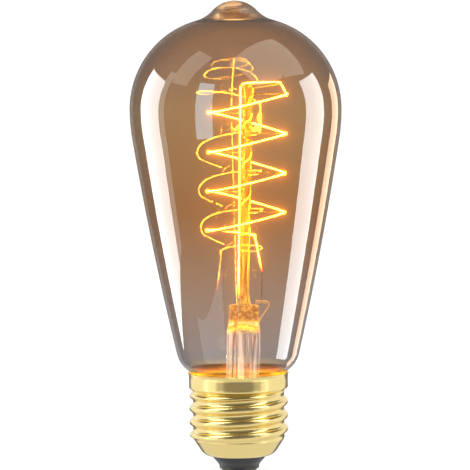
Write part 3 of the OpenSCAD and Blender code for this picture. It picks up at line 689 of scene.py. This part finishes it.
# The coil turns once for each pitch along the core, and the ring of its wire stands across its course.
turns = reach[-1] / coil_pitch
at = np.linspace(0, reach[-1], int(turns * coil_points))
centre, east, north, onward = (
    np.stack([np.interp(at, core_at, v[:, k]) for k in range(3)], axis=-1) for v in (core, side, up, ahead)
)
phase = (2 * np.pi * at / coil_pitch)[:, None]
out = unit(east * np.cos(phase) + north * np.sin(phase))
around = unit(-east * np.sin(phase) + north * np.cos(phase))
climb = 2 * np.pi * coil_r / coil_pitch
cross = unit(np.cross(onward + climb * around, out))
ring_turn = (np.arange(coil_sides) * 2 * np.pi / coil_sides)[:, None]
wire_ring = out[:, None] * np.cos(ring_turn) + cross[:, None] * np.sin(ring_turn)
coil = (centre + coil_r * out)[:, None] + coil_wire_r * wire_ring
heat = np.clip(np.minimum(at / dark_start, (reach[-1] - at - dark_end) / warm_end), 0, 1)
filament = grid_mesh("spiral_filament", leaned(coil), wrap_columns=True)
mark(filament, "hot_share", np.repeat(heat, coil_sides))
tungsten = Paint("lit_tungsten")
glow = tungsten.ramp(
    tungsten.share("hot_share"),
    (0.0, (0, 0, 0)), (0.35, (0.25, 0.02, 0)), (0.7, (0.9, 0.3, 0.01)), (1.0, (1.0, 0.60, 0.03)),
)
hot_wire = tungsten.surface(
    Base_Color=(0.2, 0.19, 0.18), Metallic=1.0, Roughness=0.4, Emission_Color=glow, Emission_Strength=160.0,
)
finish(filament, hot_wire, "filament_metal", "filament", sharp=80)

# The clamps, inner leads and seal wires: nickel strips folded over the filament's ends, on nickel wires. In
# the press each wire goes over into a copper-clad one that seals to the glass. The filament's light on them
# all is painted, as emission.
clamp_len, clamp_w, clamp_h, clamp_rise = 3.2, 1.0, 0.9, 1.8
strip_power, waist_depth, waist_reach = 5, 0.22, 0.16
lead_r, seal_wire_r = 0.25, 0.3
lead_x = (exhaust_r + stem_r - stem_wall) / 2
seal_right = np.array([[lead_x, 0, press_z - 3.5], [press_w / 2 + 0.15, 0, press_z + 2.9]])
seal_left = np.array([[-lead_x, 0, press_z - 3.5], [-0.38 * stem_r, -2.05, press_top - 1.8]])


def folded_strip(name, middle, length, width, height, upright=False):
    """Strip folded over a wire: a superellipse carried along its length, smaller at both ends, and pinched in
    the middle by a bell curve."""
    turn = np.arange(48) * 2 * np.pi / 48
    c, s = np.cos(turn), np.sin(turn)
    reach = (np.abs(c) ** strip_power + np.abs(s) ** strip_power) ** (-1 / strip_power)
    y, z = width / 2 * reach * c, height / 2 * reach * s
    share = np.concatenate([[-0.5, -0.5, -0.47], np.linspace(-0.42, 0.42, 9), [0.47, 0.5, 0.5]])
    along = share[:, None] * length
    full = np.array([0, 0.8, 0.97] + [1] * 9 + [0.97, 0.8, 0])[:, None]
    waist = 1 - waist_depth * np.exp(-((along / (waist_reach * length)) ** 2)) * np.abs(s) ** 2
    box = np.stack([along + 0 * turn, y * full, z * full * waist], axis=-1)
    if upright:
        box = np.stack([box[..., 2], box[..., 1], box[..., 0]], axis=-1)
    return grid_mesh(name, leaned(middle + box), wrap_columns=True)


strip = Paint("nickel_strip")
satin_and_glow = strip.noise(0.7, 4.0)
strip_tone = strip.blend(satin_and_glow, (0.50, 0.45, 0.38), (0.68, 0.62, 0.53))
# Painted light: the strips and inner leads glow by emission for the filament's light on them.
nickel = strip.surface(
    Base_Color=strip_tone, Metallic=1.0, Roughness=0.25 + 0.2 * satin_and_glow, Normal=strip.bump(satin_and_glow, 0.02),
    Emission_Color=strip.blend(satin_and_glow, (0.55, 0.30, 0.10), (1.0, 0.66, 0.30)), Emission_Strength=0.9,
)
right_clamp = folded_strip("right_clamp", clamp_right_at, clamp_len, clamp_w, clamp_h)
left_clamp = folded_strip("left_clamp", clamp_left_at, clamp_rise, clamp_w, clamp_w, upright=True)
finish(right_clamp, nickel, "lead_metal", "clamp_right")
finish(left_clamp, nickel, "lead_metal", "clamp_left")


def beyond(run, d):
    """Point at a distance d past the end of a straight run."""
    return run[1] + d * unit(run[1] - run[0])


outer_end = clamp_right_at + [clamp_len / 2, 0, 0]
under = clamp_left_at - [0, 0, clamp_rise / 2]
right_run = bent([
    seal_right[1], beyond(seal_right, 0.9),
    outer_end + [0.2, 0, -1.5], outer_end + [0.55, 0, 0], outer_end - [0.95, 0, 0],
], 0.6)
left_run = bent([
    seal_left[1], beyond(seal_left, 0.6), under - [0, 0, 0.4], under + [0, 0, clamp_rise / 4 - 0.05],
], 0.4)
for name, node, run in (
    ("right_inner_lead", "inner_lead_right", right_run),
    ("left_inner_lead", "inner_lead_left", left_run),
):
    finish(round_wire(name, leaned(run), lead_r), nickel, "lead_metal", node, sharp=60)

oxide = Paint("red_copper_oxide")
skin_and_glow = oxide.noise(0.6, 3.0)
# Painted light: the seal wires glow by emission for the filament's light on them. The red oxide is their own
# colour.
red_skin = oxide.surface(
    Base_Color=oxide.blend(skin_and_glow, (0.30, 0.07, 0.03), (0.55, 0.18, 0.09)), Metallic=0.6,
    Roughness=0.35 + 0.2 * skin_and_glow,
    Emission_Color=oxide.blend(skin_and_glow, (0.48, 0.22, 0.12), (0.70, 0.42, 0.27)), Emission_Strength=1.1,
)
for name, node, run in (
    ("right_seal_wire", "seal_wire_right", seal_right),
    ("left_seal_wire", "seal_wire_left", seal_left),
):
    along = np.linspace(beyond(run[::-1], 0.5), beyond(run, -0.02), 6)
    finish(round_wire(name, leaned(along), seal_wire_r), red_skin, "seal_metal", node, sharp=60)

# The outer leads: thin tinned wires down the flared tube. One turns round under the neck and up between glass
# and cap to the rim at the back, and the other runs down the middle to the end contact.
outer_lead_r, side_lead_r, lead_z, turn_z, joint_gap = 0.2, 11.5, flare_c[1] + 2.5, 11.8, 0.55
skirt_z, cement_h, disc_z, eyelet_top, skirt_in = 23.1, 1.6, 0.6, 7.86, 12.85
lead_end_r = skirt_in - outer_lead_r - 0.05
side_run = bent([
    leaned(beyond(seal_left[::-1], joint_gap)), leaned([-lead_x, 0, lead_z]),
    [stem_shift - lead_x, 1, turn_z],
    [0, side_lead_r, turn_z], [0, side_lead_r, skirt_z + cement_h + 0.2], [0, lead_end_r, cap_h - 0.8],
    [0, lead_end_r + 0.05, cap_h - 0.05],
], 1.5)
centre_run = bent([
    leaned(beyond(seal_right[::-1], joint_gap)), leaned([lead_x, 0, lead_z]), leaned([lead_x, 0, neck_end]),
    [2.2, 0, eyelet_top + 1.7], [0, 0, eyelet_top + 1.1], [0, 0, disc_z + 0.5],
], 1)
tin = Paint("tinned_wire")
tin_marks = tin.noise(0.8, 3.0)
tinned = tin.surface(
    Base_Color=tin.blend(tin_marks, (0.55, 0.54, 0.52), (0.72, 0.71, 0.69)), Metallic=1.0,
    Roughness=0.25 + 0.2 * tin_marks,
)
for name, node, run in (
    ("side_outer_lead", "outer_lead_side", side_run),
    ("centre_outer_lead", "outer_lead_centre", centre_run),
):
    finish(round_wire(name, run, outer_lead_r), tinned, "lead_metal", node, sharp=60)

# The screw shell: thin brass sheet, drawn to a cup and rolled between dies into a rounded right-hand thread.
# It has a plain band under the flared rim, and its foot is turned in over the insulator. The filament's light
# on the band's inner side is painted, as emission.
thread_d, pitch, thread_depth, shell_wall = 26.3, 3.63, 1.05, 0.3
step_h, flare_h, flare_out, cone_top, cone_angle = 1.2, 0.8, 0.3, 9.2, math.radians(33)
lip_bend, cone_len, crest_z, thread_rise = 3.0, 3.66, 11.9, 1.0
shell_around, lit_gap, band_lit_top, band_lit_fade = 144, 0.05, cap_h - 1.3, 0.8
root_r, skirt_r = thread_d / 2 - thread_depth, thread_d / 2
cone_up = np.array([math.sin(cone_angle), math.cos(cone_angle)])
cone_out = np.array([math.cos(cone_angle), -math.sin(cone_angle)])
lip_c = np.array([root_r, cone_top]) - cone_len * cone_up - lip_bend * cone_out
knuckle_r = ((pitch / 4) ** 2 + (thread_depth / 2) ** 2) / thread_depth


def shell_r(z, turn):
    """Radius of the thread at a height and an angle: two arcs that run together, by the square root of the
    knuckle's radius squared less the distance squared. They fade into the cone and the band."""
    turns = (z - crest_z) / pitch - turn / (2 * np.pi)
    d = np.abs(turns - np.round(turns)) * pitch
    crest = thread_depth - knuckle_r + np.sqrt(np.maximum(knuckle_r**2 - d**2, 0))
    root = knuckle_r - np.sqrt(np.maximum(knuckle_r**2 - (pitch / 2 - d) ** 2, 0))
    wave = np.where(d < pitch / 4, crest, root)
    fade = ease((z - cone_top) / thread_rise) * (1 - ease((z - skirt_z + 2 * step_h) / (1.5 * step_h)))
    return root_r + np.maximum(fade * wave, thread_depth * ease((z - skirt_z + step_h) / step_h))


shell_turn = np.arange(shell_around) * 2 * np.pi / shell_around
threaded_z = np.linspace(cone_top, skirt_z, 116)[1:]
band_z = np.linspace(skirt_z, cap_h - flare_h, 5)[1:]


def thread_rows(depth):
    """Grid of the thread and the band at a depth under the outer surface: the shell's radius, turned."""
    z = np.concatenate([threaded_z, band_z])[:, None]
    r = shell_r(z, shell_turn) - depth
    return np.stack([r * np.cos(shell_turn), r * np.sin(shell_turn), z + 0 * shell_turn], axis=-1)


def foot_rows(depth):
    """Grid of the foot at a depth under the outer surface: the lip's arc and the straight cone over it."""
    corner = np.array([root_r, cone_top]) + depth * np.array([-1, math.tan(cone_angle / 2)])
    lip = arc(lip_c, lip_bend - depth, -np.pi / 2, -cone_angle, 10)
    cone = lip[-1] + (corner - lip[-1]) * np.linspace(0, 1, 5)[1:, None]
    return revolve(np.concatenate([lip, cone]), shell_around)


flare_side = np.array([
    [skirt_r + 0.12, cap_h - 0.5], [skirt_r + 0.24, cap_h - 0.22], [skirt_r + flare_out - 0.02, cap_h - 0.05],
    [skirt_r + flare_out - 0.1, cap_h],
    [skirt_in + flare_out + 0.08, cap_h], [skirt_in + flare_out, cap_h - 0.06],
    [skirt_in + 0.18, cap_h - 0.3], [skirt_in + 0.08, cap_h - 0.55],
])
shell_grid = np.concatenate([
    foot_rows(0), thread_rows(0), revolve(flare_side, shell_around),
    thread_rows(shell_wall)[::-1], foot_rows(shell_wall)[::-1],
])
shell = grid_mesh("brass_screw_shell", shell_grid, wrap_rows=True, wrap_columns=True)

# Painted light: the inner side of the band glows by emission.
r, z = reach_of(shell)
band_lit = np.clip((band_lit_top - z) / band_lit_fade, 0, 1)
mark(shell, "lit_share", (r < skirt_r - lit_gap) * (z > skirt_z) * band_lit)
brass = Paint("rolled_brass")
rolling = brass.noise(1.2, 4.0, (0.25, 0.25, 6))
cloud = brass.noise(7, 3.0)
brass_tone = brass.blend(cloud, (0.88, 0.68, 0.26), (0.95, 0.76, 0.34))
rolled_brass = brass.surface(
    Base_Color=brass_tone, Metallic=1.0, Roughness=0.13 + 0.08 * cloud + 0.06 * rolling,
    Normal=brass.bump(rolling, 0.012),
    Emission_Color=brass.blend(brass.share("lit_share"), (0, 0, 0), (1.0, 0.50, 0.03)), Emission_Strength=1.5,
)
finish(shell, rolled_brass, "cap_brass", "screw_shell", sharp=50)
cap_pieces.objects.link(shell)

# The cement: a ring of baked basing cement that holds the neck in the cap. The side lead runs up through it,
# and the filament's light on its upper face is painted, as emission.
cement_in, cement_out = neck_r + 0.03, skirt_in - 0.03
cement_foot, cement_top = skirt_z + 0.1, skirt_z + cement_h
cement_lit_from, cement_lit_r, cement_lit_fade = skirt_z + 1, skirt_in - 0.2, 0.8
cement_side = np.array([
    [cement_in, cement_foot], [cement_out, cement_foot], [cement_out, cement_top - 0.1],
    [skirt_in - 0.3, cement_top], [neck_r + 0.4, cement_top], [cement_in, cement_top - 0.15],
])
cement_ring = grid_mesh("basing_cement", revolve(cement_side, 96), wrap_rows=True, wrap_columns=True)
r, z = reach_of(cement_ring)
mark(cement_ring, "lit_share", np.clip((cement_lit_r - r) / cement_lit_fade, 0, 1) * (z > cement_lit_from))
grit = Paint("basing_cement")
grain = grit.noise(0.4, 4.0)
cement = grit.surface(
    Base_Color=grit.blend(grain, (0.42, 0.32, 0.20), (0.60, 0.49, 0.34)), Roughness=0.8,
    Normal=grit.bump(grain, 0.15),
    Emission_Color=grit.blend(grit.share("lit_share"), (0, 0, 0), (1.0, 0.50, 0.02)), Emission_Strength=3.6,
)
finish(cement_ring, cement, "cement", "cement_ring")

# The insulator: black glass cast into the foot of the shell. Its flank widens from the foot to the shell's
# lip, and it has a bore for the eyelet.
contact_t, eyelet_r, eyelet_wall, contact_r, fit_gap = 0.6, 1.5, 0.3, 4.6, 0.03
foot_r, foot_h, foot_edge, flank_bend = 5.25, 1.0, 0.3, 1.5
waist_in, lip_gap, dish_turn, insulator_rise = 0.2, 0.07, math.radians(4), 2.9
foot_z, lip_z = disc_z + contact_t, lip_c[1] - lip_bend
knee, waist = np.array([foot_r, foot_z + foot_h]), np.array([lip_c[0] - waist_in, lip_z - lip_gap])
lean = np.pi / 2 - angle_of(waist - knee)
flank_c = knee + flank_bend * np.array([1, -math.tan(lean / 2)])
dish_bend = lip_bend - shell_wall - fit_gap
dish_top = lip_z + insulator_rise
dish_end = lip_c + dish_bend * cone_out
insulator_side = np.concatenate([
    [[eyelet_r + fit_gap, foot_z]],
    arc((foot_r - foot_edge, foot_z + foot_edge), foot_edge, -np.pi / 2, 0, 6),
    arc(flank_c, flank_bend, np.pi, np.pi - lean, 10),
    [waist],
    arc(lip_c, dish_bend, -np.pi / 2 - dish_turn, -cone_angle, 12),
    [dish_end + (dish_top - dish_end[1]) / cone_up[1] * cone_up],
    [[eyelet_r + fit_gap, dish_top]],
])
insulator_grid = revolve(insulator_side, 128)
insulator = grid_mesh("black_glass_insulator", insulator_grid, wrap_rows=True, wrap_columns=True)
jet = Paint("black_glass")
swirl = jet.noise(2.5, 3.0)
black_glass = jet.surface(
    Base_Color=jet.blend(swirl, (0.008, 0.008, 0.009), (0.02, 0.02, 0.022)), Roughness=0.12 + 0.15 * swirl,
    IOR=1.55, Normal=jet.bump(swirl, 0.06),
)
finish(insulator, black_glass, "black_insulator", "insulator")
cap_pieces.objects.link(insulator)

# The end contact and the solder: a brass disc with a tube that is riveted through the insulator, a flat
# button of solder over it, and a bead of solder where the side lead meets the rim.
solder_face_r, solder_edge, plug_h = 2.0, 0.3, 0.6
side_solder_r, bead_drop, glass_clear, rim_clear = 1.3, 0.15, 0.05, 0.02
disc_edge = contact_t / 2
contact_side = np.concatenate([
    [[eyelet_r - eyelet_wall, disc_z]],
    arc((contact_r - disc_edge, disc_z + disc_edge), disc_edge, -np.pi / 2, 0, 8),
    [[contact_r, foot_z], [eyelet_r, foot_z], [eyelet_r, eyelet_top], [eyelet_r - eyelet_wall, eyelet_top]],
])
contact = grid_mesh("end_contact_disc", revolve(contact_side, 96), wrap_rows=True, wrap_columns=True)
finish(contact, rolled_brass, "cap_brass", "centre_contact")
foot_pieces.objects.link(contact)

plug_r, plug_top = eyelet_r - eyelet_wall - fit_gap, foot_z + plug_h
button_side = np.concatenate([
    [[0, 0], [solder_face_r - solder_edge, 0]], arc((solder_face_r, disc_z), disc_z, -np.pi / 2, 0, 8),
    [[plug_r, disc_z], [plug_r, plug_top], [0, plug_top]],
])
flow = Paint("tin_solder")
lumps = flow.noise(1.1, 3.0)
solder = flow.surface(
    Base_Color=flow.blend(lumps, (0.55, 0.55, 0.54), (0.74, 0.74, 0.72)), Metallic=1.0,
    Roughness=0.22 + 0.25 * lumps, Normal=flow.bump(lumps, 0.08),
)
button = grid_mesh("end_solder_button", revolve(button_side, 64), wrap_columns=True)
finish(button, solder, "solder", "end_solder")
foot_pieces.objects.link(button)

# The bead is a ball by the cosines and sines of two angles. Where it would enter the glass or the shell, its
# points are pushed out to just off them.
bead_up, bead_turn = np.linspace(-np.pi / 2, np.pi / 2, 25)[:, None], np.arange(48) * 2 * np.pi / 48
bead = np.array([0, skirt_r, cap_h - bead_drop]) + side_solder_r * np.stack([
    np.cos(bead_up) * np.cos(bead_turn), np.cos(bead_up) * np.sin(bead_turn), np.sin(bead_up) + 0 * bead_turn,
], axis=-1)
away = np.hypot(bead[..., 0], bead[..., 1])
collar_r = collar_c[0] + np.sqrt(collar_bend**2 - (bead[..., 2] - collar_c[1]) ** 2)
held = np.maximum(away, np.where(bead[..., 2] > cap_h, collar_r + glass_clear, skirt_r + rim_clear))
bead[..., :2] *= (held / away)[..., None]
side_bead = grid_mesh("side_solder_bead", bead, wrap_columns=True)
finish(side_bead, solder, "solder", "side_solder")
cap_pieces.objects.link(side_bead)

# The glow: a lens spreads the light of the lit filament a little way over the picture. It is added to the
# finished picture, so no piece carries it.
scene.use_nodes = True
picture = scene.node_tree
picture.nodes.clear()
taken = picture.nodes.new("CompositorNodeRLayers")
bloom = picture.nodes.new("CompositorNodeGlare")
shown = picture.nodes.new("CompositorNodeComposite")
bloom.glare_type = "BLOOM"
bloom.quality = "HIGH"
for key, value in {
    "Threshold": 1.8, "Smoothness": 0.2, "Maximum": 4.0, "Strength": 0.45, "Size": 0.12,
    "Tint": (1.0, 0.55, 0.12, 1.0),
}.items():
    bloom.inputs[key].default_value = value
picture.links.new(taken.outputs["Image"], bloom.inputs["Image"])
picture.links.new(bloom.outputs["Image"], shown.inputs["Image"])
